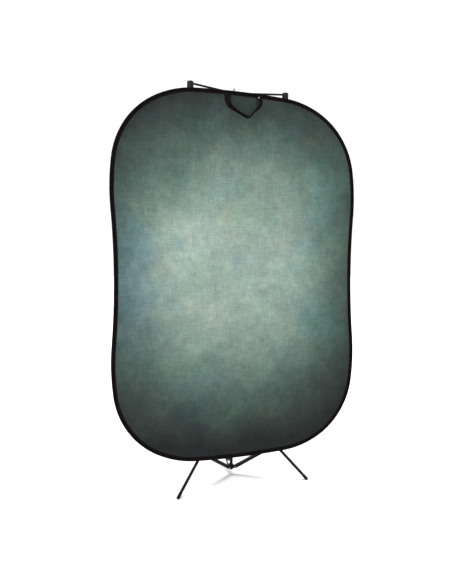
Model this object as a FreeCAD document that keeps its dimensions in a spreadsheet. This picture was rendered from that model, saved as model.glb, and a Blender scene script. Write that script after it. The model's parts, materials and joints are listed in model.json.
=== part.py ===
"""A pop-up fabric backdrop held by magnets on a two-armed crossbar, on a light stand with a folding tripod.

Millimetres, +Z up, the painted side faces -Y. The origin is on the floor, under the middle of the
bounding box.
"""

import FreeCAD, Part
import math
import os
import re

import Sketcher
from FreeCAD import Placement, Rotation, Vector

SIZES = {
    # where the mast stands, and the panel against it
    "mast_y": -116.4,
    "panel_setback": 150.5,
    "panel_centre_z": 1240.4,
    "panel_lean_deg": 1.2,
    # panel outline: one quarter, from the top centre to the waist, as tangent arcs
    "crest_arc": 5140.0,
    "crest_turn": 3.1,
    "shoulder_arc": 558.0,
    "shoulder_turn": 25.6,
    "corner_arc": 458.0,
    "corner_turn": 53.9,
    "flank_arc": 1323.0,
    "flank_turn": 12.1,
    "waist_arc": 4540.0,
    # panel section
    "rim_width": 24.0,
    "rim_thickness": 10.0,
    "rim_wall": 1.2,
    "band_inset": 2.0,
    "band_thickness": 1.2,
    "band_width": 8.0,
    "chamber_width": 4.0,
    "chamber_height": 8.4,
    "slot_height": 2.6,
    "fabric_thickness": 0.8,
    "fabric_gap": 0.8,
    "fabric_inset": 7.0,
    "joiner_length": 60.0,
    # hanging strap
    "strap_width": 36.0,
    "strap_thickness": 3.0,
    "strap_clearance": 2.0,
    "strap_hinge_v": 1004.0,
    "tab_top_v": 1052.0,
    "snap_radius": 6.0,
    "snap_height": 2.4,
    # mast tubes
    "base_radius": 9.5,
    "base_wall": 1.2,
    "base_bottom": 36.0,
    "base_top": 925.0,
    "mid_radius": 8.0,
    "mid_wall": 1.1,
    "mid_bottom": 755.0,
    "mid_top": 1675.0,
    "top_radius": 6.5,
    "top_wall": 1.1,
    "top_bottom": 1400.0,
    "top_top": 2284.0,
    "glide_length": 24.0,
    "running_gap": 0.05,
    # tripod
    "crown_z": 455.0,
    "crown_radius": 16.5,
    "crown_height": 44.0,
    "spider_z": 50.0,
    "spider_radius": 15.0,
    "spider_height": 26.0,
    "lug_gap": 0.4,
    "lug_radius": 7.0,
    "pivot_reach": 30.0,
    "pin_radius": 2.5,
    "drill_length": 50.0,
    "leg_radius": 9.0,
    "leg_wall": 1.2,
    "leg_tilt_deg": 44.3,
    "leg_length": 626.0,
    "leg_overhang": 7.5,
    "brace_pivot_drop": 350.0,
    "ear_gap": 0.5,
    "ear_thickness": 3.5,
    "channel_gap": 2.0,
    "channel_wall": 1.5,
    "channel_back": 12.6,
    "channel_depth": 19.0,
    "web_start": 20.0,
    "web_end": 220.0,
    "foot_radius": 9.8,
    "foot_length": 34.0,
    "foot_end": 630.3,
    # collars, knobs and screws
    "mid_collar_radius": 16.0,
    "mid_collar_height": 55.0,
    "top_collar_radius": 13.5,
    "top_collar_height": 52.0,
    "collar_overlap": 28.0,
    "screw_drop": 13.0,
    "screw_radius": 3.0,
    "boss_radius": 7.5,
    "boss_reach": 26.0,
    "knob_radius": 15.0,
    "knob_thickness": 13.0,
    "knob_flute_radius": 5.0,
    "knob_flutes": 6.0,
    # stud, hub, arms and heads
    "stud_radius": 7.94,
    "stud_top": 2365.0,
    "stud_flange": 4.0,
    "stud_groove_depth": 1.8,
    "stud_groove_bottom": 2312.0,
    "hub_radius": 15.0,
    "hub_bottom": 2294.0,
    "hub_top": 2345.0,
    "arm_z": 2337.0,
    "arm_pivot": 24.0,
    "arm_radius": 6.0,
    "eye_radius": 7.5,
    "eye_width": 12.2,
    "arm_gap": 0.4,
    "arm_socket": 10.0,
    "hub_stop": 5.0,
    "hub_ear_drop": 11.0,
    "head_u": 298.0,
    "head_back": 40.0,
    "head_top_v": 1108.0,
    "head_height": 78.0,
    "head_radius": 19.0,
    "head_rounding": 7.0,
    "magnet_v": 1045.5,
    "magnet_radius": 11.0,
    "magnet_thickness": 6.0,
    "cup_radius": 13.0,
    "cup_thickness": 9.0,
    "neck_radius": 8.0,
    "magnet_screw_depth": 12.0,
    "magnet_air": 1.8,
    "magnet_recess": 0.3,
}

doc = FreeCAD.newDocument("CollapsibleBackdrop")
sheet = doc.addObject("Spreadsheet::Sheet", "Sizes")
for row, (name, number) in enumerate(SIZES.items(), start=1):
    sheet.set(f"A{row}", name)
    sheet.set(f"B{row}", str(number))
    sheet.setAlias(f"B{row}", name)
doc.recompute()


def size(name):
    return float(getattr(sheet, name))


def bind(thing, path, text):
    """Ties a property to the sheet, where every word in the text is an alias. A length that was worked out
    from the sheet comes as a plain number."""
    if isinstance(text, float):
        setattr(thing, path, text)
    else:
        thing.setExpression(path, re.sub(r"[a-z][a-z_]*", lambda word: "Sizes." + word.group(), text))


def place(*steps):
    """One placement from moves (vectors) and turns (axis letter, degrees), outermost first."""
    axes = {"x": Vector(1, 0, 0), "y": Vector(0, 1, 0), "z": Vector(0, 0, 1)}
    total = Placement()
    for step in steps:
        if isinstance(step, Vector):
            total = total * Placement(step, Rotation())
        else:
            total = total * Placement(Vector(), Rotation(axes[step[0]], step[1]))
    return total


PIECES = []


def piece(thing, label, placement=None):
    """Registers a finished sub-part under its own label."""
    thing.Label = label
    if placement is not None:
        thing.Placement = placement
    PIECES.append(thing)
    return thing


# ---------------------------------------------------------------- primitives and booleans


def cylinder(name, radius, height, placement=None):
    thing = doc.addObject("Part::Cylinder", name)
    bind(thing, "Radius", radius)
    bind(thing, "Height", height)
    thing.Placement = placement or Placement()
    return thing


def box(name, length, width, height, placement=None):
    thing = doc.addObject("Part::Box", name)
    bind(thing, "Length", length)
    bind(thing, "Width", width)
    bind(thing, "Height", height)
    thing.Placement = placement or Placement()
    return thing


def fuse(name, things):
    thing = doc.addObject("Part::MultiFuse", name)
    thing.Shapes = things
    thing.Refine = True
    return thing


def cut(name, base, tools):
    thing = doc.addObject("Part::Cut", name)
    thing.Base = base
    thing.Tool = tools[0] if len(tools) == 1 else fuse(name + "_tools", tools)
    thing.Refine = True
    return thing


def group(name, things):
    thing = doc.addObject("Part::Compound", name)
    thing.Links = things
    return thing


# ---------------------------------------------------------------- PartDesign helpers


def new_body(label):
    return doc.addObject("PartDesign::Body", label)


def origin_plane(body, role):
    return next(item for item in body.Origin.OriginFeatures if item.Role == role)


def new_sketch(body, role, name, raise_by=None):
    sketch = body.newObject("Sketcher::SketchObject", name)
    sketch.AttachmentSupport = (origin_plane(body, role), [""])
    sketch.MapMode = "FlatFace"
    if raise_by:
        bind(sketch, "AttachmentOffset.Base.z", raise_by)
    return sketch


def add_circle(sketch, radius, centre=None):
    """A circle at the sketch's origin, or at a (right, up) pair of sheet expressions."""
    start = Vector(1, 1, 0) if centre else Vector()
    index = sketch.addGeometry(Part.Circle(start, Vector(0, 0, 1), 1.0))
    dimension = sketch.addConstraint(Sketcher.Constraint("Radius", index, 1.0))
    bind(sketch, f"Constraints[{dimension}]", radius)
    if centre is None:
        sketch.addConstraint(Sketcher.Constraint("Coincident", index, 3, -1, 1))
        return
    for kind, text in zip(("DistanceX", "DistanceY"), centre):
        if text == "0":
            axis = -2 if kind == "DistanceX" else -1
            sketch.addConstraint(Sketcher.Constraint("PointOnObject", index, 3, axis))
        else:
            dimension = sketch.addConstraint(Sketcher.Constraint(kind, -1, 1, index, 3, 1.0))
            bind(sketch, f"Constraints[{dimension}]", text)


def pad(body, sketch, length, midplane=False):
    feature = body.newObject("PartDesign::Pad", sketch.Name + "_pad")
    feature.Profile = sketch
    feature.SideType = "Symmetric" if midplane else "One side"
    bind(feature, "Length", length)
    sketch.Visibility = False
    return feature


def pocket(body, sketch, length):
    """Cuts both ways from the sketch plane, and insists that something was removed."""
    doc.recompute()
    before = body.Shape.Volume
    feature = body.newObject("PartDesign::Pocket", sketch.Name + "_pocket")
    feature.Profile = sketch
    feature.SideType = "Symmetric"
    bind(feature, "Length", length)
    doc.recompute()
    if not body.Shape.Volume < before:
        raise RuntimeError(f"{body.Name}: {sketch.Name} cuts nothing")
    return feature


def tube_body(label, outer, inner, length):
    """A round tube that rises from its own origin along +Z."""
    body = new_body(label)
    sketch = new_sketch(body, "XY_Plane", label + "_ring")
    add_circle(sketch, outer)
    if inner:
        add_circle(sketch, inner)
    pad(body, sketch, length)
    return body


# ---------------------------------------------------------------- the panel

ARCS = ("crest", "shoulder", "corner", "flank", "waist")


def quarter_outline(inset):
    """Centre, radius, start and end angle of each arc from the top centre to the waist, that far inside."""
    turns = [size(name + "_turn") for name in ARCS[:-1]]
    turns.append(sum(turns) - 90.0)
    arcs = []
    heading = 90.0
    point = Vector(0, 0, 0)
    for name, turn in zip(ARCS, turns):
        hollow = name == "waist"
        radius = size(name + "_arc")
        side = 1.0 if hollow else -1.0
        angle = math.radians(heading)
        outward = Vector(math.cos(angle), math.sin(angle), 0)
        centre = point + outward * radius * side
        heading += turn if hollow else -turn
        angle = math.radians(heading)
        point = centre - Vector(math.cos(angle), math.sin(angle), 0) * radius * side
        before = heading - (turn if hollow else -turn)
        arcs.append((centre, radius + inset * side, hollow, before, heading))
    drop = Vector(0, -point.y, 0)
    return [(centre + drop, radius, hollow, start, end) for centre, radius, hollow, start, end in arcs]


def add_outline(sketch, inset):
    """Draws the chain of arcs and returns the geometry and end numbers of its top and waist ends."""
    amount = sum(size(word) for word in inset.replace(" ", "").split("+")) if inset else 0.0
    chain = []
    for name, (centre, radius, hollow, start, end) in zip(ARCS, quarter_outline(amount)):
        turned = 180.0 if hollow else 0.0
        low, high = sorted((math.radians(start + turned), math.radians(end + turned)))
        circle = Part.Circle(centre, Vector(0, 0, 1), radius)
        index = sketch.addGeometry(Part.ArcOfCircle(circle, low, high))
        first = 1 if hollow else 2
        chain.append((index, first, 3 - first))
        dimension = sketch.addConstraint(Sketcher.Constraint("Radius", index, radius))
        sign = "+" if hollow else "-"
        steps = inset.replace("+", sign) if inset else ""
        bind(sketch, f"Constraints[{dimension}]", f"{name}_arc" + (f" {sign} {steps}" if inset else ""))
        if not hollow:
            dimension = sketch.addConstraint(Sketcher.Constraint("Angle", index, high - low))
            bind(sketch, f"Constraints[{dimension}]", f"{name}_turn")
    for before, after in zip(chain, chain[1:]):
        sketch.addConstraint(Sketcher.Constraint("Tangent", before[0], before[2], after[0], after[1]))
    sketch.addConstraint(Sketcher.Constraint("PointOnObject", chain[0][0], chain[0][1], -2))
    sketch.addConstraint(Sketcher.Constraint("PointOnObject", chain[0][0], 3, -2))
    sketch.addConstraint(Sketcher.Constraint("PointOnObject", chain[-1][0], chain[-1][2], -1))
    return (chain[0][0], chain[0][1]), (chain[-1][0], chain[-1][2])


def join(sketch, start, end, start_point, end_point):
    line = sketch.addGeometry(Part.LineSegment(start_point, end_point))
    sketch.addConstraint(Sketcher.Constraint("Coincident", line, 1, *start))
    sketch.addConstraint(Sketcher.Constraint("Coincident", line, 2, *end))


def outline_ends(inset):
    """The top and waist points of the quarter outline, that far inside."""
    half_width = quarter_outline(0.0)[-1]
    half_height = quarter_outline(0.0)[0]
    return (
        Vector(0, half_height[0].y + half_height[1] - inset, 0),
        Vector(half_width[0].x - half_width[1] - inset, 0, 0),
    )


def quarter_sketch(body, name, outer, inner=None, raise_by=None):
    """A quarter of the outline in the front plane: a ring between two insets, or filled to the centre."""
    sketch = new_sketch(body, "XZ_Plane", name, raise_by)
    amount = sum(size(word) for word in outer.replace(" ", "").split("+")) if outer else 0.0
    top, waist = add_outline(sketch, outer)
    top_point, waist_point = outline_ends(amount)
    if inner is None:
        join(sketch, (-1, 1), top, Vector(), top_point)
        join(sketch, (-1, 1), waist, Vector(), waist_point)
    else:
        amount = sum(size(word) for word in inner.replace(" ", "").split("+"))
        inner_top, inner_waist = add_outline(sketch, inner)
        inner_top_point, inner_waist_point = outline_ends(amount)
        join(sketch, inner_top, top, inner_top_point, top_point)
        join(sketch, inner_waist, waist, inner_waist_point, waist_point)
    return sketch


def mirror_quarter(body, features):
    """Mirrors features left to right and top to bottom."""
    whole = body.newObject("PartDesign::MultiTransform", body.Name + "_whole")
    mirrors = []
    for role in ("YZ_Plane", "XY_Plane"):
        mirror = body.newObject("PartDesign::Mirrored", f"{body.Name}_{role[:2]}")
        mirror.MirrorPlane = (origin_plane(body, role), [""])
        mirrors.append(mirror)
    whole.Originals = features
    whole.Transformations = mirrors
    body.Tip = whole


def panel_place(*steps):
    """From the panel's own frame: origin at its centre, leaning back against the mast."""
    centre = Vector(0, size("mast_y") - size("panel_setback"), size("panel_centre_z"))
    return place(centre, ("x", -size("panel_lean_deg")), *steps)


def make_rim():
    body = new_body("rim_binding")
    ring = pad(body, quarter_sketch(body, "rim_outline", "", "rim_width"), "rim_thickness", midplane=True)
    chamber = quarter_sketch(body, "band_chamber", "rim_wall", "rim_wall+chamber_width")
    slot = quarter_sketch(body, "fabric_slot", "rim_wall+chamber_width", "rim_width")
    hollows = [pocket(body, chamber, "chamber_height"), pocket(body, slot, "slot_height")]
    mirror_quarter(body, [ring, *hollows])
    piece(body, "rim_binding", panel_place())


def make_band():
    body = new_body("spring_band")
    sketch = quarter_sketch(body, "band_outline", "band_inset", "band_inset+band_thickness")
    mirror_quarter(body, [pad(body, sketch, "band_width", midplane=True)])
    piece(body, "spring_band", panel_place())


def make_fabric(label, raise_by):
    body = new_body(label)
    sketch = quarter_sketch(body, label + "_outline", "fabric_inset", None, raise_by)
    mirror_quarter(body, [pad(body, sketch, "fabric_thickness")])
    piece(body, label, panel_place())


make_rim()
make_band()
make_fabric("front_fabric", "fabric_gap / 2")
make_fabric("back_fabric", "0 - fabric_gap / 2 - fabric_thickness")
HALF_HEIGHT = outline_ends(0.0)[0].y
HALF_WAIST = outline_ends(0.0)[1].x

JOINER_AIR = 0.1
joiner_floor = size("band_inset") + size("band_thickness") - HALF_HEIGHT
joiner_at = Vector(-size("joiner_length") / 2, -size("band_width") / 2, joiner_floor + JOINER_AIR)
joiner = box("joiner", "joiner_length", "band_width", "chamber_width - band_thickness - rim_wall")
piece(joiner, "band_joiner", panel_place(joiner_at))


# The strap's middle line, seen from the front: down from each sewn tab to a low point right of centre.
STRAP_LEFT = Vector(-84, 0, size("strap_hinge_v") - 0.5)
STRAP_LEFT_BEND = Vector(-68, 0, 966)
STRAP_LOW = Vector(33, 0, 916)
STRAP_RIGHT_BEND = Vector(99, 0, 984)
STRAP_RIGHT = Vector(106, 0, size("strap_hinge_v") - 0.5)
STRAP_LINE = (STRAP_LEFT, STRAP_LEFT_BEND, STRAP_LOW, STRAP_RIGHT_BEND, STRAP_RIGHT)
TAB_MIDDLES = (-89.5, 107.5)
SNAP_MIDDLE = 104.5
SNAP_DROP = 8.0
STRAP_FRONT = size("rim_thickness") / 2 + size("strap_clearance")


def make_strap():
    """A ribbon of even thickness along the strap's middle line, its width standing out to the front."""
    half = size("strap_thickness") / 2
    sides = {1: [], -1: []}
    for index, point in enumerate(STRAP_LINE):
        before = point - STRAP_LINE[index - 1] if index else STRAP_LINE[1] - point
        after = STRAP_LINE[index + 1] - point if index + 1 < len(STRAP_LINE) else before
        mean = before.normalize() + after.normalize()
        across = Vector(-mean.z, 0, mean.x).normalize()
        stretch = half / max(0.5, across.dot(Vector(-before.z, 0, before.x)))
        for side, points in sides.items():
            points.append(point + across * stretch * side)
    loop = sides[1] + sides[-1][::-1]
    face = Part.Face(Part.makePolygon(loop + loop[:1]))
    solid = face.extrude(Vector(0, -size("strap_width"), 0))
    strap = doc.addObject("Part::Feature", "hanging_strap")
    strap.Shape = solid
    piece(strap, "hanging_strap", panel_place(Vector(0, -STRAP_FRONT, 0)))


def make_strap_tabs():
    tabs = []
    for index, middle in enumerate(TAB_MIDDLES):
        corner = Vector(middle - size("strap_width") / 2, -STRAP_FRONT, size("strap_hinge_v") + 0.5)
        height = "tab_top_v - strap_hinge_v"
        tabs.append(box(f"tab_{index}", "strap_width", "strap_thickness / 2", height, place(corner)))
    piece(group("strap_tabs", tabs), "strap_tabs", panel_place())
    snap_at = Vector(SNAP_MIDDLE, -STRAP_FRONT, size("tab_top_v") - SNAP_DROP)
    dome = doc.addObject("Part::Cone", "snap_cap")
    bind(dome, "Radius1", "snap_radius")
    bind(dome, "Radius2", "snap_radius * 0.6")
    bind(dome, "Height", "snap_height")
    piece(dome, "strap_snap", panel_place(snap_at, ("x", 90)))


make_strap()
make_strap_tabs()


# ---------------------------------------------------------------- the mast

MAST = Vector(0, size("mast_y"), 0)
SCREW_AIR = 0.3
HUB_SCREW_RISE = 14.0


def on_mast(height, *steps):
    return place(MAST + Vector(0, 0, height), *steps)


def make_mast_tube(section, bottom):
    label = f"{section}_tube"
    body = tube_body(label, f"{section}_radius", f"{section}_radius - {section}_wall",
                     f"{section}_top - {section}_bottom")
    piece(body, label, on_mast(bottom))


def make_glide(section, outer_section):
    """A plastic bush on the lower end of an inner tube, running in the outer one."""
    outer = f"{outer_section}_radius - {outer_section}_wall - running_gap"
    ring = cylinder(f"{section}_bush", outer, "glide_length")
    bore = cylinder(f"{section}_bush_bore", f"{section}_radius", "glide_length")
    glide = cut(f"{section}_glide", ring, [bore])
    piece(glide, f"{section}_glide", on_mast(size(f"{section}_bottom")))


for section in ("base", "mid", "top"):
    make_mast_tube(section, size(section + "_bottom"))
make_glide("mid", "base")
make_glide("top", "mid")
plug_skirt = cylinder("plug_skirt", "base_radius - base_wall", "base_radius", place(Vector(0, 0, 4)))
plug_head = cylinder("plug_head", "base_radius + running_gap", "stud_flange")
piece(fuse("bottom_plug", [plug_head, plug_skirt]), "bottom_plug", on_mast(size("base_bottom") - 4))


def boss_and_bore(name, bearing, height):
    """A screw boss that points along a bearing, and the hole for its screw."""
    aim = (("z", bearing), ("y", 90))
    boss = cylinder(name + "_boss", "boss_radius", "boss_reach", place(Vector(0, 0, height), *aim))
    bore = cylinder(name + "_screw_bore", "screw_radius + running_gap", "boss_reach * 2",
                    place(Vector(0, 0, height), *aim))
    return boss, bore


def make_knob(name, bearing, height, tip):
    """A fluted knob and its clamp screw, both turning about the screw's axis."""
    knob = new_body(name + "_knob")
    sketch = new_sketch(knob, "XY_Plane", name + "_knob_disc")
    add_circle(sketch, "knob_radius")
    add_circle(sketch, "screw_radius")
    pad(knob, sketch, "knob_thickness")
    flute = new_sketch(knob, "XY_Plane", name + "_knob_flute")
    add_circle(flute, "knob_flute_radius", ("knob_radius + knob_flute_radius * 0.5", "0"))
    notch = pocket(knob, flute, "knob_thickness * 2")
    ring = knob.newObject("PartDesign::PolarPattern", name + "_knob_flutes")
    ring.Originals = [notch]
    ring.Axis = (next(item for item in knob.Origin.OriginFeatures if item.Role == "Z_Axis"), [""])
    ring.Angle = 360
    ring.Occurrences = int(size("knob_flutes"))
    knob.Tip = ring
    start = size("boss_reach") + 1.0
    piece(knob, name + "_knob", on_mast(height, ("z", bearing), ("y", 90), Vector(0, 0, start)))
    screw_length = start + size("knob_thickness") - 2.0 - tip
    along = on_mast(height, ("z", bearing), ("y", 90), Vector(0, 0, tip))
    piece(cylinder(name + "_screw_rod", "screw_radius", screw_length), name + "_screw", along)


def make_clamp_collar(section, tubes):
    """Sits on the top of one tube, guides the next one, and carries a clamp screw and its knob."""
    label = f"{section}_clamp_collar"
    fixed, sliding = tubes
    bottom = size(fixed + "_top") - size("collar_overlap")
    screw_rise = size(f"{section}_collar_height") - size("screw_drop")
    shell = cylinder(label + "_shell", f"{section}_collar_radius", f"{section}_collar_height")
    boss, bore = boss_and_bore(label, 90, screw_rise)
    seat = cylinder(label + "_seat", f"{fixed}_radius", "collar_overlap")
    guide = cylinder(label + "_guide", f"{sliding}_radius + running_gap", f"{section}_collar_height")
    collar = cut(label, fuse(label + "_solid", [shell, boss]), [seat, guide, bore])
    piece(collar, label, on_mast(bottom))
    make_knob(section, 90, bottom + screw_rise, size(sliding + "_radius") + SCREW_AIR)


make_clamp_collar("mid", ("base", "mid"))
make_clamp_collar("top", ("mid", "top"))


# ---------------------------------------------------------------- the tripod

BEARINGS = {"1": -30.0, "2": 90.0, "3": 210.0}
CROWN_KNOB_BEARING = 30.0
TILT = size("leg_tilt_deg")


def brace_setting():
    """Length and tilt of a brace, from the pivots at both of its ends with the tripod open."""
    tilt = math.radians(TILT)
    out = size("brace_pivot_drop") * math.sin(tilt)
    up = size("crown_z") - size("brace_pivot_drop") * math.cos(tilt) - size("spider_z")
    return math.hypot(out, up), math.degrees(math.atan2(out, up))


BRACE_LENGTH, BRACE_TILT = brace_setting()


EAR_ROOT = 8.0
SIDES = (("a", 1), ("b", -1))


def drill(name, bearing, reach):
    """A cross hole through ears or a lug, that far out along a bearing."""
    at = place(("z", bearing), Vector(reach, size("drill_length") / 2, 0), ("x", 90))
    return cylinder(name, "pin_radius", "drill_length", at)


def make_crown():
    foot = place(Vector(0, 0, -size("crown_height") / 2))
    parts = [cylinder("crown_sleeve", "crown_radius", "crown_height", foot)]
    holes = [cylinder("crown_bore", "base_radius + running_gap", "crown_height", foot)]
    inner = size("leg_radius") + size("ear_gap")
    for number, bearing in BEARINGS.items():
        for side, corner in (("a", inner), ("b", -inner - size("ear_thickness"))):
            at = place(("z", bearing), Vector(EAR_ROOT, corner, -size("leg_radius")))
            ear = box(f"crown_ear_{number}{side}", "pivot_reach", "ear_thickness", "leg_radius * 2", at)
            parts.append(ear)
        holes.append(drill(f"crown_hole_{number}", bearing, size("pivot_reach")))
    boss, bore = boss_and_bore("crown", CROWN_KNOB_BEARING, 0)
    crown = cut("crown_collar", fuse("crown_solid", [*parts, boss]), [*holes, bore])
    piece(crown, "crown_collar", on_mast(size("crown_z")))


def make_spider():
    foot = place(Vector(0, 0, -size("spider_height") / 2))
    parts = [cylinder("spider_sleeve", "spider_radius", "spider_height", foot)]
    holes = [cylinder("spider_bore", "base_radius", "spider_height", foot)]
    reach = size("pivot_reach")
    half = size("leg_radius") + size("channel_gap") - size("lug_gap")
    width = "(leg_radius + channel_gap - lug_gap) * 2"
    for number, bearing in BEARINGS.items():
        at = place(("z", bearing), Vector(EAR_ROOT, -half, -size("lug_radius")))
        parts.append(box(f"spider_lug_{number}", f"pivot_reach - {EAR_ROOT}", width, "lug_radius * 2", at))
        at = place(("z", bearing), Vector(reach, half, 0), ("x", 90))
        parts.append(cylinder(f"spider_nose_{number}", "lug_radius", width, at))
        holes.append(drill(f"spider_hole_{number}", bearing, reach))
    spider = cut("lower_collar", fuse("spider_solid", parts), holes)
    piece(spider, "lower_collar", on_mast(size("spider_z")))


def make_pin(name, half_length):
    """A headed pin along Y, centred on its own origin."""
    middle = place(Vector(0, half_length, 0), ("x", 90))
    parts = [cylinder(name + "_shank", "pin_radius", half_length * 2, middle)]
    for letter, side in SIDES:
        at = place(Vector(0, side * half_length, 0), ("x", -90 * side))
        parts.append(cylinder(f"{name}_head_{letter}", "pin_radius * 1.7", "pin_radius * 0.7", at))
    return fuse(name, parts)


def make_pin_set(label, height, half_length):
    pins = []
    for number, bearing in BEARINGS.items():
        pin = make_pin(f"{label}_{number}", half_length)
        pin.Placement = place(("z", bearing), Vector(size("pivot_reach"), 0, 0))
        pins.append(pin)
    piece(group(label, pins), label, on_mast(height))


def leg_place(number):
    out = Vector(size("pivot_reach"), 0, 0)
    return on_mast(size("crown_z"), ("z", BEARINGS[number]), out, ("y", -TILT))


def make_leg(number):
    label = f"leg_{number}"
    body = new_body(label)
    ring = new_sketch(body, "XY_Plane", label + "_ring", "0 - leg_length")
    add_circle(ring, "leg_radius")
    add_circle(ring, "leg_radius - leg_wall")
    pad(body, ring, "leg_length + leg_overhang")
    crown_hole = new_sketch(body, "XZ_Plane", label + "_crown_hole")
    add_circle(crown_hole, "pin_radius + running_gap")
    pocket(body, crown_hole, "leg_radius * 3")
    brace_hole = new_sketch(body, "XZ_Plane", label + "_brace_hole")
    add_circle(brace_hole, "pin_radius", ("0", "0 - brace_pivot_drop"))
    pocket(body, brace_hole, "leg_radius * 3")
    piece(body, label, leg_place(number))
    half = size("leg_radius") + size("channel_gap") - size("lug_gap")
    pin_at = Vector(0, half, -size("brace_pivot_drop"))
    pin = cylinder(f"leg_pin_{number}", "pin_radius", "(leg_radius + channel_gap - lug_gap) * 2")
    piece(pin, f"leg_pin_{number}", leg_place(number) * place(pin_at, ("x", 90)))


def make_foot(number):
    """A rubber cap, cut square to the leg, with its low corner trimmed flat on the floor."""
    label = f"foot_{number}"
    end = size("foot_end")
    cap = cylinder(label + "_cap", "foot_radius", "foot_length", place(Vector(0, 0, -end)))
    tube_end = place(Vector(0, 0, -size("leg_length")))
    socket = cylinder(label + "_socket", "leg_radius", "foot_length", tube_end)
    middle = leg_place(number).multVec(Vector(0, 0, -end))
    half = size("foot_length")
    corner = Vector(middle.x - half, middle.y - half, -half)
    floor_place = leg_place(number).inverse() * place(corner)
    floor = box(label + "_floor", "foot_length * 2", "foot_length * 2", "foot_length", floor_place)
    piece(cut(label, cap, [socket, floor]), label, leg_place(number))


def brace_place(number):
    out = Vector(size("pivot_reach"), 0, 0)
    return on_mast(size("spider_z"), ("z", BEARINGS[number]), out, ("y", BRACE_TILT))


def make_brace(number):
    """A steel channel: two round-ended flanges either side of the leg, and a web that stops short of it."""
    label = f"brace_{number}"
    inner = size("leg_radius") + size("channel_gap")
    wall = size("channel_wall")
    back = -size("channel_back")
    middle = back + size("channel_depth") / 2
    ends = (("low", 0.0), ("high", BRACE_LENGTH))
    parts = []
    holes = []
    for letter, start in (("a", inner), ("b", -inner - wall)):
        at = place(Vector(back, start, 0))
        parts.append(box(f"{label}_flange_{letter}", "channel_depth", "channel_wall", BRACE_LENGTH, at))
        for end, height in ends:
            at = place(Vector(middle, start + wall, height), ("x", 90))
            parts.append(cylinder(f"{label}_end_{letter}_{end}", "channel_depth / 2", "channel_wall", at))
    at = place(Vector(back, -inner, size("web_start")))
    web_width = "(leg_radius + channel_gap) * 2"
    parts.append(box(f"{label}_web", "channel_wall", web_width, "web_end - web_start", at))
    for end, height in ends:
        at = place(Vector(0, size("drill_length") / 2, height), ("x", 90))
        holes.append(cylinder(f"{label}_hole_{end}", "pin_radius + running_gap", "drill_length", at))
    piece(cut(label, fuse(label + "_solid", parts), holes), label, brace_place(number))
    make_rivets(number, inner)


def make_rivets(number, inner):
    """The two rivets that close a brace's upper end on the leg, one through each flange."""
    label = f"brace_rivets_{number}"
    rivets = []
    for letter, side in SIDES:
        at = place(Vector(0, side * inner, 0), ("x", -90 * side))
        shank = cylinder(f"{label}_shank_{letter}", "pin_radius + running_gap", "channel_wall", at)
        at = place(Vector(0, side * (inner + size("channel_wall")), 0), ("x", -90 * side))
        head = cylinder(f"{label}_head_{letter}", "pin_radius * 1.8", "pin_radius * 0.8", at)
        rivets.append(fuse(f"{label}_{letter}", [shank, head]))
    piece(group(label, rivets), label, brace_place(number) * place(Vector(0, 0, BRACE_LENGTH)))


make_crown()
make_spider()
ear_outside = size("leg_radius") + size("ear_gap") + size("ear_thickness")
channel_outside = size("leg_radius") + size("channel_gap") + size("channel_wall")
make_pin_set("crown_pins", size("crown_z"), ear_outside)
make_pin_set("lower_collar_pins", size("spider_z"), channel_outside + 0.3)
make_knob("crown", CROWN_KNOB_BEARING, size("crown_z"), size("base_radius") + SCREW_AIR)
for number in BEARINGS:
    make_leg(number)
    make_foot(number)
    make_brace(number)


# ---------------------------------------------------------------- stud, hub and crossbar


def make_stud():
    """The mast's chrome spigot: a plug in the tube, a flange, and a 16 mm stud with a waist."""
    body = new_body("top_stud")
    rise = size("stud_top") - size("top_top")
    low = size("stud_groove_bottom") - size("top_top")
    high = size("hub_top") - size("top_top")
    plug = size("top_radius") - size("top_wall")
    flange = size("stud_flange")
    radius = size("stud_radius")
    groove = size("stud_groove_depth")
    profile = [
        (0, -30), (plug, -30), (plug, 0), (radius + 1.5, 0), (radius + 1.5, flange), (radius, flange),
        (radius, low), (radius - groove, low + 2), (radius - groove, high - 2), (radius, high),
        (radius, rise - 1), (radius - 1, rise), (0, rise),
    ]
    sketch = new_sketch(body, "XZ_Plane", "stud_profile")
    count = len(profile)
    for start, end in zip(profile, profile[1:] + profile[:1]):
        sketch.addGeometry(Part.LineSegment(Vector(*start, 0), Vector(*end, 0)))
    for index in range(count):
        sketch.addConstraint(Sketcher.Constraint("Coincident", index, 2, (index + 1) % count, 1))
    sketch.addConstraint(Sketcher.Constraint("PointOnObject", 0, 1, -2))
    turned = body.newObject("PartDesign::Revolution", "stud_turned")
    turned.Profile = sketch
    turned.ReferenceAxis = (sketch, ["V_Axis"])
    turned.Angle = 360
    piece(body, "top_stud", on_mast(size("top_top")))


def head_centre():
    """Where a head barrel's axis stands at the height of its arm, from the mast axis (x, y)."""
    lean = math.radians(size("panel_lean_deg"))
    rise = (size("arm_z") - size("panel_centre_z")) * math.tan(lean)
    return size("head_u"), -size("panel_setback") + size("head_back") / math.cos(lean) + rise


HEAD_X, HEAD_Y = head_centre()
ARM_SWEEP = math.degrees(math.atan2(-HEAD_Y, HEAD_X))
ARM_REACH = math.hypot(HEAD_X, HEAD_Y)
ARM_ROD_LENGTH = ARM_REACH - size("arm_pivot") - size("head_radius") + size("arm_socket")
ARM_BEARINGS = {"right": -ARM_SWEEP, "left": 180.0 + ARM_SWEEP}


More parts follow.
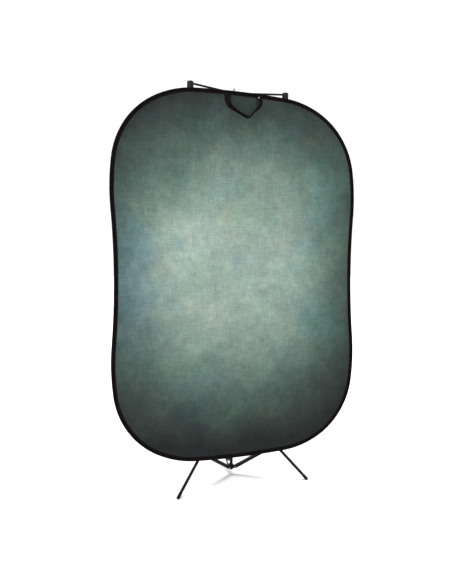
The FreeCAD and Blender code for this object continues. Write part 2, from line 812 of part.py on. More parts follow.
def make_hub():
    foot = place(Vector(0, 0, size("hub_bottom") - size("arm_z")))
    parts = [cylinder("hub_barrel", "hub_radius", "hub_top - hub_bottom", foot)]
    holes = [cylinder("hub_bore", "stud_radius + running_gap", "hub_top - hub_bottom", foot)]
    inner = size("arm_radius") + size("arm_gap")
    thick = size("ear_thickness")
    below = size("hub_ear_drop")
    ear_height = "hub_top - arm_z + hub_ear_drop"
    ear_end = EAR_ROOT + size("arm_pivot") + size("eye_radius")
    stop_height = "hub_ear_drop - arm_radius - arm_gap"
    for side, bearing in ARM_BEARINGS.items():
        for letter, start in (("a", inner), ("b", -inner - thick)):
            at = place(("z", bearing), Vector(EAR_ROOT, start, -below))
            ear = box(f"hub_ear_{side}_{letter}", "arm_pivot + eye_radius", "ear_thickness", ear_height, at)
            parts.append(ear)
        at = place(("z", bearing), Vector(ear_end - size("hub_stop"), -inner, -below))
        parts.append(box(f"hub_stop_{side}", "hub_stop", "(arm_radius + arm_gap) * 2", stop_height, at))
        holes.append(drill(f"hub_pin_hole_{side}", bearing, size("arm_pivot")))
    boss, bore = boss_and_bore("hub", 90, size("hub_bottom") - size("arm_z") + HUB_SCREW_RISE)
    hub = cut("hub_body", fuse("hub_solid", [*parts, boss]), [*holes, bore])
    piece(hub, "hub_body", on_mast(size("arm_z")))
    pins = []
    for side, bearing in ARM_BEARINGS.items():
        pin = make_pin(f"arm_pin_{side}", inner + thick)
        pin.Placement = place(("z", bearing), Vector(size("arm_pivot"), 0, 0))
        pins.append(pin)
    piece(group("arm_pins", pins), "arm_pins", on_mast(size("arm_z")))


def arm_place(side):
    return on_mast(size("arm_z"), ("z", ARM_BEARINGS[side]), Vector(size("arm_pivot"), 0, 0))


def make_arm(side):
    """A round rod with a flat eye that turns on the hub's pin."""
    label = f"arm_{side}"
    rod = cylinder(label + "_rod", "arm_radius", ARM_ROD_LENGTH, place(("y", 90)))
    at = place(Vector(0, size("eye_width") / 2, 0), ("x", 90))
    eye = cylinder(label + "_eye", "eye_radius", "eye_width", at)
    hole = cylinder(label + "_hole", "pin_radius + running_gap", "eye_width", at)
    piece(cut(label, fuse(label + "_solid", [rod, eye]), [hole]), label, arm_place(side))


def head_place(side):
    sign = 1 if side == "right" else -1
    return panel_place(Vector(sign * size("head_u"), size("head_back"), 0))


def make_head(side):
    """A round-topped barrel on the arm's end, with a neck that holds the magnet against the rim."""
    label = f"head_{side}"
    barrel = new_body(label + "_barrel")
    disc = new_sketch(barrel, "XY_Plane", label + "_disc", "head_top_v - head_height")
    add_circle(disc, "head_radius")
    feature = pad(barrel, disc, "head_height")
    doc.recompute()
    rounding = barrel.newObject("PartDesign::Fillet", label + "_rounding")
    top = size("head_top_v")
    rims = [
        f"Edge{n}" for n, edge in enumerate(feature.Shape.Edges, start=1)
        if len(edge.Vertexes) == 1 and abs(edge.Vertexes[0].Z - top) < 0.01
    ]
    rounding.Base = (feature, rims)
    bind(rounding, "Radius", "head_rounding")
    behind = size("rim_thickness") / 2 + size("magnet_air") + size("cup_thickness")
    magnet_at = Vector(0, -size("head_back") + behind, size("magnet_v"))
    neck_length = "head_back - rim_thickness / 2 - magnet_air - cup_thickness"
    neck = cylinder(label + "_neck", "neck_radius", neck_length, place(magnet_at, ("x", -90)))
    solid = fuse(label + "_solid", [barrel, neck])
    rod_place = head_place(side).inverse() * arm_place(side) * place(("y", 90))
    rod = cylinder(label + "_socket", "arm_radius", ARM_ROD_LENGTH, rod_place)
    at = place(magnet_at, ("x", -90))
    screw_hole = cylinder(label + "_screw_hole", "pin_radius", "magnet_screw_depth", at)
    piece(cut(label, solid, [rod, screw_hole]), label, head_place(side))
    return magnet_at


def screw_cone(name):
    """The countersunk head of the magnet's screw, and the hollow that it fills in the magnet."""
    cone = doc.addObject("Part::Cone", name)
    bind(cone, "Radius1", "pin_radius")
    bind(cone, "Radius2", "pin_radius * 2.2")
    bind(cone, "Height", "magnet_thickness - magnet_recess")
    return cone


def make_magnet(side, magnet_at):
    """A steel cup with a magnet disc in its mouth and a screw through both into the neck."""
    at = head_place(side) * place(magnet_at, ("x", 90))
    lift = place(Vector(0, 0, size("cup_thickness") - size("magnet_thickness")))
    shell = cylinder(f"cup_{side}_shell", "cup_radius", "cup_thickness")
    mouth = cylinder(f"cup_{side}_mouth", "magnet_radius", "magnet_thickness", lift)
    hole = cylinder(f"cup_{side}_hole", "pin_radius", "cup_thickness")
    piece(cut(f"magnet_cup_{side}", shell, [mouth, hole]), f"magnet_cup_{side}", at)
    disc = cylinder(f"magnet_{side}_disc", "magnet_radius", "magnet_thickness - magnet_recess")
    sink = screw_cone(f"magnet_{side}_sink")
    piece(cut(f"magnet_{side}", disc, [sink]), f"magnet_{side}", at * lift)
    shank_length = "magnet_screw_depth + cup_thickness - magnet_thickness"
    start = place(Vector(0, 0, -size("magnet_screw_depth")))
    shank = cylinder(f"magnet_screw_{side}_shank", "pin_radius", shank_length, start)
    head = screw_cone(f"magnet_screw_{side}_head")
    head.Placement = lift
    piece(fuse(f"magnet_screw_{side}", [shank, head]), f"magnet_screw_{side}", at)


make_stud()
make_hub()
make_knob("hub", 90, size("hub_bottom") + HUB_SCREW_RISE, size("stud_radius") + SCREW_AIR)
for side in ARM_BEARINGS:
    make_arm(side)
    make_magnet(side, make_head(side))


# ---------------------------------------------------------------- checks and files

doc.recompute()
for thing in doc.Objects:
    if "Invalid" in thing.State or "Error" in thing.State:
        raise RuntimeError(f"{thing.Name} is {thing.State}")
os.makedirs("parts", exist_ok=True)
for thing in PIECES:
    shape = thing.Shape
    if shape.isNull() or not shape.isValid() or not shape.Solids:
        raise RuntimeError(f"{thing.Label} has no valid solid")
for thing in PIECES:
    thing.Shape.exportStep(os.path.join("parts", thing.Label + ".step"))

whole = FreeCAD.BoundBox()
for thing in PIECES:
    whole.add(thing.Shape.BoundBox)
print(len(PIECES), "sub-parts,", whole)
print("outline half height and waist:", round(HALF_HEIGHT, 2), round(HALF_WAIST, 2))
print("brace length and tilt:", round(BRACE_LENGTH, 3), round(BRACE_TILT, 3))
print("arm sweep and reach:", round(ARM_SWEEP, 3), round(ARM_REACH, 3))
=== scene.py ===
"""Looks of a pop-up painted backdrop on its light stand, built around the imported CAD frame."""

import json
import math

import bpy
from mathutils import Matrix, Vector, noise


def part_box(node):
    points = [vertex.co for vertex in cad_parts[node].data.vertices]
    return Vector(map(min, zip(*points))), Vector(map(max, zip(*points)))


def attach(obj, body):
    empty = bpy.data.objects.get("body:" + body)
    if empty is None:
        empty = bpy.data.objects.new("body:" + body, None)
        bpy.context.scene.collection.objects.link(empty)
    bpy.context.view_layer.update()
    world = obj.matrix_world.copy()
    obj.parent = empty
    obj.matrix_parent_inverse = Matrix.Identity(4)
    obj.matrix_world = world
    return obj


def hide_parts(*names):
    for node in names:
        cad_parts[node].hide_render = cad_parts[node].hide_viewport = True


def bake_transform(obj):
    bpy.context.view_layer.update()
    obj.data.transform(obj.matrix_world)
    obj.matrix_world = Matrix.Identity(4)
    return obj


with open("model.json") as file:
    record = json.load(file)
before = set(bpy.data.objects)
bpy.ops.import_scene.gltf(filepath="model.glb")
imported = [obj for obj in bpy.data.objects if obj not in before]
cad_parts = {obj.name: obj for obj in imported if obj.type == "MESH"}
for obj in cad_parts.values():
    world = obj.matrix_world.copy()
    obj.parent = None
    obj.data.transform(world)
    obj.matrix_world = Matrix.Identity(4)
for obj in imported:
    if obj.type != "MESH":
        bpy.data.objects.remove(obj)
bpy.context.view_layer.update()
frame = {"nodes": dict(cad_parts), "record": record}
NODES = frame["nodes"]

LEAN = math.radians(1.2)
RIM_LOW, RIM_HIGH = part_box("rim_binding")
CENTRE = (RIM_LOW + RIM_HIGH) / 2
RIGHT = Vector((1, 0, 0))
FRONT = Vector((0, -math.cos(LEAN), math.sin(LEAN)))
UP = Vector((0, math.sin(LEAN), math.cos(LEAN)))

# The outline's quarter from the top centre to the waist: radius, turn in degrees, and 1 where it bulges or -1
# where it is hollow.
ARCS = ((5.140, 3.1, 1), (0.558, 25.6, 1), (0.458, 53.9, 1), (1.323, 12.1, 1), (4.540, 4.7, -1))
ARC_STEPS = 90


def panel_point(u, n, v):
    """From the panel's own frame (right, towards the front, up) to the row frame."""
    return CENTRE + RIGHT * u + FRONT * n + UP * v


# ---------------------------------------------------------------- the panel's outline


def quarter_line():
    heading = math.pi / 2
    point = Vector((0.0, 0.0))
    line = [(point.copy(), Vector((0.0, 1.0)))]
    for radius, turn, bulge in ARCS:
        outward = Vector((math.cos(heading), math.sin(heading)))
        centre = point - outward * radius * bulge
        for step in range(1, ARC_STEPS + 1):
            angle = heading - bulge * math.radians(turn) * step / ARC_STEPS
            outward = Vector((math.cos(angle), math.sin(angle)))
            line.append((centre + outward * radius * bulge, outward))
        heading = angle
        point = line[-1][0]
    drop = Vector((0, point.y))
    return [(place - drop, outward) for place, outward in line]


def outline(count):
    """Points spaced evenly round the outline, clockwise from the top, and its length.

    Each is its place, its outward normal and the length so far.
    """
    quarter = quarter_line()
    loop = list(quarter)
    for across, along in ((1, -1), (-1, -1), (-1, 1)):
        flip = Vector((across, along))
        part = [(place * flip, outward * flip) for place, outward in quarter]
        if across * along < 0:
            part.reverse()
        loop.extend(part[1:])
    lengths = [0.0]
    for before, after in zip(loop, loop[1:]):
        lengths.append(lengths[-1] + (after[0] - before[0]).length)
    total = lengths[-1]
    points = []
    at = 0
    for index in range(count):
        target = total * index / count
        while lengths[at + 1] < target:
            at += 1
        share = (target - lengths[at]) / (lengths[at + 1] - lengths[at])
        place = loop[at][0].lerp(loop[at + 1][0], share)
        outward = loop[at][1].lerp(loop[at + 1][1], share).normalized()
        points.append((place, outward, target))
    return points, total


# ---------------------------------------------------------------- mesh helpers


def new_piece(name, verts, faces, uvs=None, smooth=True):
    """A mesh object. uvs holds one (s, t) pair per face corner, in the faces' order."""
    mesh = bpy.data.meshes.new(name)
    mesh.from_pydata([tuple(v) for v in verts], [], faces)
    if uvs is not None:
        layer = mesh.uv_layers.new(name="UVMap")
        layer.data.foreach_set("uv", [number for pair in uvs for number in pair])
    mesh.validate()
    mesh.update()
    if smooth:
        mesh.polygons.foreach_set("use_smooth", [True] * len(mesh.polygons))
    piece = bpy.data.objects.new(name, mesh)
    bpy.context.scene.collection.objects.link(piece)
    return piece


def grid_faces(rows, columns, close_rows=False, close_columns=False, start=0):
    """Quads between rows of points; a row's points follow each other."""
    faces = []
    for row in range(rows if close_rows else rows - 1):
        for column in range(columns if close_columns else columns - 1):
            below = (row + 1) % rows
            right = (column + 1) % columns
            faces.append((
                start + row * columns + column, start + row * columns + right,
                start + below * columns + right, start + below * columns + column,
            ))
    return faces


def finish_piece(piece, body, material):
    piece.data.materials.append(material)
    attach(piece, body)
    return piece


# ---------------------------------------------------------------- materials


class Finish:
    """A procedural material and short ways to add nodes to it."""

    def __init__(self, name, coordinates="Object"):
        self.material = bpy.data.materials.new(name)
        self.material.use_nodes = True
        self.tree = self.material.node_tree
        self.shader = self.tree.nodes["Principled BSDF"]
        self.where = self.node("ShaderNodeTexCoord").outputs[coordinates]

    def node(self, kind, **settings):
        made = self.tree.nodes.new(kind)
        for name, value in settings.items():
            setattr(made, name, value)
        return made

    def plug(self, socket, value):
        if isinstance(value, bpy.types.NodeSocket):
            self.tree.links.new(value, socket)
        elif isinstance(value, (tuple, list)) and len(value) == 3 and socket.type == "RGBA":
            socket.default_value = (*value, 1.0)
        else:
            socket.default_value = value

    def set(self, **values):
        for name, value in values.items():
            self.plug(self.shader.inputs[name.replace("_", " ")], value)
        return self

    def stretched(self, scale, move=(0, 0, 0), vector=None):
        made = self.node("ShaderNodeMapping")
        self.plug(made.inputs["Vector"], vector or self.where)
        self.plug(made.inputs["Location"], move)
        self.plug(made.inputs["Scale"], scale)
        return made.outputs[0]

    def noise(self, scale, detail=3.0, roughness=0.5, distortion=0.0, vector=None):
        made = self.node("ShaderNodeTexNoise")
        self.plug(made.inputs["Vector"], vector or self.where)
        self.plug(made.inputs["Scale"], scale)
        self.plug(made.inputs["Detail"], detail)
        self.plug(made.inputs["Roughness"], roughness)
        self.plug(made.inputs["Distortion"], distortion)
        return made.outputs["Fac"]

    def wave(self, scale, direction, vector=None, distortion=0.0):
        made = self.node("ShaderNodeTexWave", bands_direction=direction)
        self.plug(made.inputs["Vector"], vector or self.where)
        self.plug(made.inputs["Scale"], scale)
        self.plug(made.inputs["Distortion"], distortion)
        return made.outputs["Fac"]

    def math(self, operation, first, second=0.0):
        made = self.node("ShaderNodeMath", operation=operation)
        self.plug(made.inputs[0], first)
        self.plug(made.inputs[1], second)
        return made.outputs[0]

    def range(self, value, low, high, to_low=0.0, to_high=1.0, smooth=False):
        made = self.node("ShaderNodeMapRange", interpolation_type="SMOOTHSTEP" if smooth else "LINEAR")
        for index, number in enumerate((value, low, high, to_low, to_high)):
            self.plug(made.inputs[index], number)
        return made.outputs[0]

    def ramp(self, value, stops):
        made = self.node("ShaderNodeValToRGB")
        ramp = made.color_ramp
        while len(ramp.elements) < len(stops):
            ramp.elements.new(0.5)
        for element, (position, colour) in zip(ramp.elements, stops):
            element.position = position
            element.color = (*colour, 1.0)
        self.plug(made.inputs[0], value)
        return made.outputs[0]

    def mix(self, share, first, second, blend="MIX"):
        made = self.node("ShaderNodeMix", data_type="RGBA", blend_type=blend)
        self.plug(made.inputs[0], share)
        self.plug(made.inputs[6], first)
        self.plug(made.inputs[7], second)
        return made.outputs[2]

    def bump(self, height, strength, distance):
        made = self.node("ShaderNodeBump")
        self.plug(made.inputs["Strength"], strength)
        self.plug(made.inputs["Distance"], distance)
        self.plug(made.inputs["Height"], height)
        self.plug(self.shader.inputs["Normal"], made.outputs[0])


def srgb(red, green, blue):
    """A colour as seen on a screen, 0 to 255, as the linear numbers a shader takes."""
    shares = [level / 255 for level in (red, green, blue)]
    return tuple(share / 12.92 if share <= 0.04 else ((share + 0.055) / 1.055) ** 2.4 for share in shares)


def rubbed_edges(look, radius, patches):
    """1 along sharp edges, broken up by the patches, and 0 elsewhere."""
    rounded = look.node("ShaderNodeBevel", samples=6)
    look.plug(rounded.inputs["Radius"], radius)
    facing = look.node("ShaderNodeVectorMath", operation="DOT_PRODUCT")
    look.plug(facing.inputs[0], rounded.outputs["Normal"])
    look.plug(facing.inputs[1], look.node("ShaderNodeNewGeometry").outputs["Normal"])
    worn = look.range(facing.outputs["Value"], 0.985, 0.86)
    return look.math("MULTIPLY", worn, look.range(patches, 0.42, 0.62))


def painted_metal(name, dark=0.002, light=0.006, rough=0.30, grain=900.0):
    """Satin powder coat: fine orange peel, soft rubbed patches, faint scratches and lighter worn edges."""
    look = Finish(name)
    patches = look.noise(9.0, 4.0, 0.6)
    fine = look.noise(grain, 2.0, 0.5)
    scuffs = look.noise(60.0, 5.0, 0.65, vector=look.stretched((1, 1, 0.25)))
    low = (dark, dark, dark * 1.04)
    high = (light, light, light * 1.03)
    colour = look.ramp(patches, ((0.30, low), (0.70, high)))
    colour = look.mix(look.range(scuffs, 0.62, 0.76), colour, (light * 3.5,) * 3)
    colour = look.mix(rubbed_edges(look, 0.0010, scuffs), colour, (0.045, 0.044, 0.043))
    look.set(Base_Color=colour, Roughness=look.range(scuffs, 0.25, 0.75, rough - 0.07, rough + 0.14),
             Specular_IOR_Level=0.11)
    look.bump(fine, 0.18, 0.00025)
    return look.material


def moulded_plastic(name, dark, light, rough, shine=0.08, grain=1400.0):
    """Moulded black plastic: a spark-eroded grain, cloudy gloss and paler corners."""
    look = Finish(name)
    patches = look.noise(22.0, 4.0, 0.6)
    pits = look.noise(grain, 1.0, 0.4)
    colour = look.ramp(patches, ((0.3, dark), (0.7, light)))
    colour = look.mix(rubbed_edges(look, 0.0008, patches), colour, (0.035, 0.034, 0.033))
    look.set(Base_Color=colour, Roughness=look.range(patches, 0.2, 0.8, rough - 0.06, rough + 0.08),
             Specular_IOR_Level=shine)
    look.bump(pits, 0.35, 0.0002)
    return look.material


def bright_metal(name, low, high, rough, brushed=(1, 1, 40)):
    """Bare or plated metal: faint stains, and gloss lines drawn out across the brushed direction."""
    look = Finish(name)
    lines = look.noise(120.0, 3.0, 0.6, vector=look.stretched(brushed))
    stains = look.noise(30.0, 4.0, 0.6)
    look.set(Base_Color=look.ramp(stains, ((0.25, low), (0.75, high))), Metallic=1.0,
             Roughness=look.range(lines, 0.3, 0.7, rough - 0.06, rough + 0.09))
    look.bump(lines, 0.08, 0.0002)
    return look.material


def cloth_grain(look, flat, strength):
    """Shade of a coarse linen weave: long upright and level slubs over a fine thread-to-thread grain."""
    upright = look.noise(120.0, 3.0, 0.7, vector=look.stretched((1.0, 1, 0.10), vector=flat))
    level = look.noise(120.0, 3.0, 0.7, vector=look.stretched((0.10, 1, 1.0), move=(0, 0, 4.4), vector=flat))
    grain = look.noise(150.0, 2.0, 0.8, vector=flat)
    slubs = look.math("ADD", look.math("ADD", upright, level), grain)
    deepest = (1 - strength) / (1 + strength)
    return slubs, look.ramp(look.range(slubs, 1.0, 2.0), ((0.0, (deepest,) * 3), (1.0, (1.0,) * 3)))


def cloth_weave(look, flat, slubs):
    """The threads' relief, and the dull sheen of the cloth."""
    weave = look.math("MULTIPLY", look.wave(420.0, "X", flat, 1.5), look.wave(420.0, "Z", flat, 1.5))
    look.set(Roughness=look.range(slubs, 1.0, 2.0, 0.80, 0.96), Sheen_Weight=0.04, Sheen_Roughness=0.5,
             Specular_IOR_Level=0.12)
    look.bump(look.math("ADD", weave, slubs), 0.35, 0.0005)


# How the painted colour changes from the pale middle to the dark edge: distance out, green, and red and blue
# as shares of green.
VIGNETTE = (
    (0.00, 0.575, 0.79, 0.87), (0.25, 0.560, 0.78, 0.86), (0.45, 0.428, 0.73, 0.86),
    (0.60, 0.292, 0.69, 0.86), (0.75, 0.176, 0.66, 0.87), (0.90, 0.096, 0.68, 0.89),
    (1.00, 0.062, 0.72, 0.92), (1.15, 0.025, 0.82, 0.95),
)
VIGNETTE_HALF = (0.902, 0.958)
VIGNETTE_MIDDLE = (-0.060, 0.072)
VIGNETTE_SKEW = (0.071, 0.117)
PAINT_SHADE = 0.805
# Middle, half size and tint of each broad wash: slate at the left, moss above it, pale and teal clouds.
WASHES = (
    ((-0.73, -0.02), (0.26, 0.44), (0.70, 0.80, 0.98)),
    ((-0.52, 0.56), (0.24, 0.22), (0.78, 0.82, 0.80)),
    ((-0.34, 0.22), (0.26, 0.22), (1.14, 1.14, 1.16)),
    ((0.62, 0.52), (0.26, 0.36), (1.14, 1.26, 1.26)),
    ((0.40, 0.02), (0.22, 0.20), (1.08, 1.14, 1.14)),
    ((0.50, -0.26), (0.16, 0.18), (0.86, 0.96, 1.03)),
)


def canvas_finish():
    """Hand-mottled canvas: a pale middle, dark edges, cloudy patches of colour, and the cloth's slubs."""
    look = Finish("painted_canvas_print")
    flat = look.stretched((1, 0, 1), move=(0, 0, -CENTRE.z))
    (half_u, half_v), (mid_u, mid_v) = VIGNETTE_HALF, VIGNETTE_MIDDLE
    skew, bend = VIGNETTE_SKEW
    places = look.node("ShaderNodeSeparateXYZ")
    look.plug(places.inputs[0], flat)
    high = look.math("SUBTRACT", places.outputs["Z"], mid_v)
    drift = look.math("MULTIPLY", high, look.math("ADD", look.math("MULTIPLY", high, bend), skew))
    wide = look.math("SUBTRACT", look.math("SUBTRACT", places.outputs["X"], mid_u), drift)
    squares = look.math(
        "ADD", look.math("POWER", look.math("ABSOLUTE", look.math("DIVIDE", wide, half_u)), 2.47),
        look.math("POWER", look.math("ABSOLUTE", look.math("DIVIDE", high, half_v)), 2.31),
    )
    out = look.math("SQRT", squares)
    clouds = look.noise(2.6, 5.0, 0.62, vector=look.stretched((1, 1, 1), move=(3.1, 0, 1.7), vector=flat))
    out = look.math("ADD", out, look.range(clouds, 0.25, 0.75, -0.10, 0.10))
    reach = VIGNETTE[-1][0]
    colour = look.ramp(look.math("DIVIDE", out, reach), [
        (far / reach, (green * red * PAINT_SHADE, green * PAINT_SHADE, green * blue * PAINT_SHADE))
        for far, green, red, blue in VIGNETTE
    ])
    # patches of colour, each broken up by its own fine detail
    for scale, move, low, high, tint in (
        (2.8, (7.3, 0, 2.2), 0.48, 0.64, (0.90, 0.98, 1.05)),
        (3.6, (1.9, 0, 8.4), 0.48, 0.64, (1.08, 1.01, 0.97)),
        (3.2, (5.5, 0, 5.1), 0.48, 0.64, (0.92, 1.03, 0.96)),
        (8.0, (2.2, 0, 6.6), 0.51, 0.64, (0.93, 0.97, 1.00)),
        (9.5, (8.8, 0, 0.7), 0.51, 0.64, (1.06, 1.04, 1.01)),
    ):
        patch = look.noise(scale, 7.0, 0.68, 0.3, vector=look.stretched((1, 1, 1), move=move, vector=flat))
        colour = look.mix(look.range(patch, low, high, 0.0, 1.0, True), colour, tint, "MULTIPLY")
    # broad washes laid in by hand, with ragged edges
    ragged = look.noise(5.5, 5.0, 0.62, vector=look.stretched((1, 1, 1), move=(6.1, 0, 3.3), vector=flat))
    for (wash_u, wash_v), (wide_u, wide_v), tint in WASHES:
        move = (-wash_u / wide_u, 0, -wash_v / wide_v)
        ring = look.node("ShaderNodeVectorMath", operation="LENGTH")
        look.plug(ring.inputs[0], look.stretched((1 / wide_u, 0, 1 / wide_v), move, vector=flat))
        far = look.math("ADD", ring.outputs["Value"], look.range(ragged, 0.3, 0.7, -0.28, 0.28))
        colour = look.mix(look.range(far, 1.15, 0.35, 0.0, 1.0, True), colour, tint, "MULTIPLY")
    # mottling from hand-sized down to thread-sized
    for scale, depth in ((9.0, 0.16), (26.0, 0.12), (70.0, 0.10)):
        spots = look.stretched((1, 1, 1), move=(scale, 0, scale), vector=flat)
        mottle = look.noise(scale, 4.0, 0.65, vector=spots)
        shade = look.ramp(look.range(mottle, 0.25, 0.75), ((0.0, (1 - 2 * depth,) * 3), (1.0, (1.0,) * 3)))
        colour = look.mix(1.0, colour, shade, "MULTIPLY")
    slubs, grain = cloth_grain(look, flat, 0.30)
    colour = look.mix(1.0, colour, grain, "MULTIPLY")
    look.set(Base_Color=colour)
    cloth_weave(look, flat, slubs)
    return look.material


def backing_finish():
    """The reverse: a plainer, warmer grey wash on the same cloth."""
    look = Finish("backing_wash")
    flat = look.stretched((1, 0, 1), move=(0, 0, -CENTRE.z))
    clouds = look.noise(2.1, 6.0, 0.64, 0.4, vector=flat)
    stops = ((0.30, srgb(98, 96, 92)), (0.52, srgb(126, 123, 117)), (0.72, srgb(149, 145, 138)))
    colour = look.ramp(clouds, stops)
    mottle = look.noise(24.0, 5.0, 0.65, vector=flat)
    colour = look.mix(1.0, colour, look.ramp(mottle, ((0.3, (0.84,) * 3), (0.7, (1.0,) * 3))), "MULTIPLY")
    slubs, grain = cloth_grain(look, flat, 0.22)
    colour = look.mix(1.0, colour, grain, "MULTIPLY")
    look.set(Base_Color=colour)
    cloth_weave(look, flat, slubs)
    return look.material


def tape_finish(name, dark, light, ribs):
    """Woven polyester tape in UV metres: cross ribs, yarn-to-yarn shade, and faded patches."""
    look = Finish(name, "UV")
    cords = look.wave(ribs, "X")
    yarns = look.wave(ribs * 0.9, "Y")
    patches = look.noise(14.0, 4.0, 0.6)
    fuzz = look.noise(900.0, 2.0, 0.6)
    colour = look.ramp(patches, ((0.3, dark), (0.7, light)))
    colour = look.mix(look.range(look.math("MULTIPLY", cords, yarns), 0.0, 1.0, 0.0, 0.5), colour, light)
    colour = look.mix(look.range(fuzz, 0.62, 0.75, 0.0, 0.5), colour, tuple(c * 2.2 for c in light))
    look.set(Base_Color=colour, Roughness=look.range(patches, 0.2, 0.8, 0.62, 0.80), Specular_IOR_Level=0.02)
    look.bump(look.math("ADD", cords, look.math("MULTIPLY", yarns, 0.6)), 0.5, 0.0003)
    return look.material


def thread_finish():
    """Twisted sewing thread, a little shinier than the tape."""
    look = Finish("black_thread")
    twist = look.noise(1500.0, 2.0, 0.5)
    look.set(Base_Color=look.ramp(twist, ((0.3, (0.005, 0.005, 0.005)), (0.7, (0.014, 0.013, 0.014)))),
             Roughness=look.range(twist, 0.3, 0.7, 0.45, 0.62), Specular_IOR_Level=0.15)
    look.bump(twist, 0.4, 0.0002)
    return look.material


# ---------------------------------------------------------------- the two fabric faces


def fabric_offset(u, v, edge, side):
    """How far the cloth stands off its flat place: broad swells that die out towards the edge."""
    swell = noise.noise(Vector((u * 2.3 + side * 9, v * 2.3, 1.7)))
    swell += 0.5 * noise.noise(Vector((u * 5.1, v * 5.1 + side * 7, 4.2)))
    return 0.0011 * swell * min(1.0, edge / 0.12) + 0.0010 * min(1.0, edge / 0.05)


FABRIC_SPOKES = 640
FABRIC_RINGS = 60
# Half the cloth's thickness, and how far its middle stands off the panel's.
FABRIC_HALF = 0.00030
FABRIC_MIDDLE = 0.0008
# How far in from the outline the cloth ends, and how much of it the tape holds flat.
FABRIC_EDGE = 0.012
FABRIC_HELD = 0.014
# The small tucks beside the tape: height, distance in from the cloth's edge, and half width.
TUCK_HEIGHT = 0.0004
TUCK_MIDDLE = 0.03
TUCK_WIDTH = 0.02


def make_fabric(name, node, side, material):
    """One face: a thin closed sheet that reaches under the tape's lip, with small tucks where the tape pulls.

    side is 1 for the front and -1 for the back. Returns the piece, its flat width and height, and its area.
    """
    spokes, rings = FABRIC_SPOKES, FABRIC_RINGS
    points, _ = outline(spokes)
    spots = [Vector((place.x * 23, place.y * 23, side * 3.0)) for place, _, _ in points]
    tucks = [TUCK_HEIGHT * noise.noise(spot) for spot in spots]
    verts = []
    for layer in (1, -1):
        for ring in range(1, rings + 1):
            share = (ring / rings) ** 0.8
            for (place, outward, _), tuck in zip(points, tucks):
                edge_point = place - outward * FABRIC_EDGE
                at = edge_point * share
                edge = (edge_point - at).length
                rise = fabric_offset(at.x, at.y, max(0.0, edge - FABRIC_HELD), side)
                rise += tuck * math.exp(-((edge - TUCK_MIDDLE) / TUCK_WIDTH) ** 2)
                verts.append(panel_point(at.x, side * (FABRIC_MIDDLE + rise) + layer * FABRIC_HALF, at.y))
        rise = fabric_offset(0, 0, 1.0, side)
        verts.append(panel_point(0, side * (FABRIC_MIDDLE + rise) + layer * FABRIC_HALF, 0))
    count = spokes * rings + 1
    front = grid_faces(rings, spokes, close_columns=True)
    front += [(count - 1, (c + 1) % spokes, c) for c in range(spokes)]
    faces = [tuple(reversed(face)) for face in front]
    faces += [tuple(index + count for index in face) for face in front]
    rim = spokes * (rings - 1)
    for here in range(spokes):
        there = (here + 1) % spokes
        faces.append((rim + here, rim + there, count + rim + there, count + rim + here))
    piece = finish_piece(new_piece(name, verts, faces), "panel", material)
    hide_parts(node)
    corners = [place - outward * FABRIC_EDGE for place, outward, _ in points]
    area = abs(sum(a.x * b.y - b.x * a.y for a, b in zip(corners, corners[1:] + corners[:1]))) / 2
    width = 2 * max(corner.x for corner in corners)
    height = 2 * max(corner.y for corner in corners)
    return piece, (width, height), area


# ---------------------------------------------------------------- the sewn tape round the rim

TAPE_HALF = 0.00045
# One side of the folded tape, from its inner lip to the outer fold: depth in from the edge, and height off
# the middle.
TAPE_SIDE = (
    (0.0240, 0.00200), (0.0225, 0.00205), (0.0205, 0.00195), (0.0185, 0.00190), (0.0165, 0.00205),
    (0.0140, 0.00260), (0.0115, 0.00335), (0.0090, 0.00400), (0.0065, 0.00440), (0.0045, 0.00453),
    (0.0028, 0.00450), (0.0014, 0.00400), (0.0007, 0.00280), (0.0005, 0.00140),
)
TAPE_FOLD_DEPTH = 0.00045
TAPE_SPOKES = 1280


def tape_profile():
    """The closed section of the tape, as (depth, height, distance across) points."""
    middle = [*TAPE_SIDE, (TAPE_FOLD_DEPTH, 0.0), *[(d, -h) for d, h in reversed(TAPE_SIDE)]]
    across = [0.0]
    for before, after in zip(middle, middle[1:]):
        across.append(across[-1] + math.dist(before, after))
    outer = []
    inner = []
    for index, (depth, height) in enumerate(middle):
        before = middle[max(0, index - 1)]
        after = middle[min(len(middle) - 1, index + 1)]
        run = Vector((after[0] - before[0], after[1] - before[1])).normalized()
        side = Vector((run.y, -run.x)) * TAPE_HALF
        outer.append((depth - side.x, height - side.y, across[index]))
        inner.append((depth + side.x, height + side.y, across[index]))
    return outer + inner[::-1]


def tape_wander(place):
    """How the tape's lip, and the stitches on it, stray from an even width: -1 to 1."""
    return noise.noise(Vector((place.x * 9, place.y * 9, 2.0)))


def make_binding(material):
    """The tape folded round the rim, with a lip that wanders and ripples a little."""
    count = TAPE_SPOKES
    points, around = outline(count)
    profile = tape_profile()
    verts = []
    for place, outward, _ in points:
        wander = tape_wander(place)
        ripple = noise.noise(Vector((place.x * 55, place.y * 55, 6.0)))
        for depth, height, _ in profile:
            lip = max(0.0, (depth - 0.008) / 0.016)
            at = place - outward * (depth + 0.0007 * wander * lip)
            side = 1 if height > 0 else -1
            rise = height * (1 + 0.05 * wander * lip) + side * 0.00022 * ripple * lip
            verts.append(panel_point(at.x, rise, at.y))
    columns = len(profile)
    faces = grid_faces(count, columns, close_rows=True, close_columns=True)
    uvs = []
    for row in range(count):
        for column in range(columns):
            right = (column + 1) % columns
            start = points[row][2]
            stop = start + around / count
            for s, c in ((start, column), (start, right), (stop, right), (stop, column)):
                uvs.append((s, profile[c][2]))
    piece = new_piece("rim_tape", verts, faces, uvs)
    finish_piece(piece, "panel", material)
    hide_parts("rim_binding")


THREAD_RADIUS = 0.00036
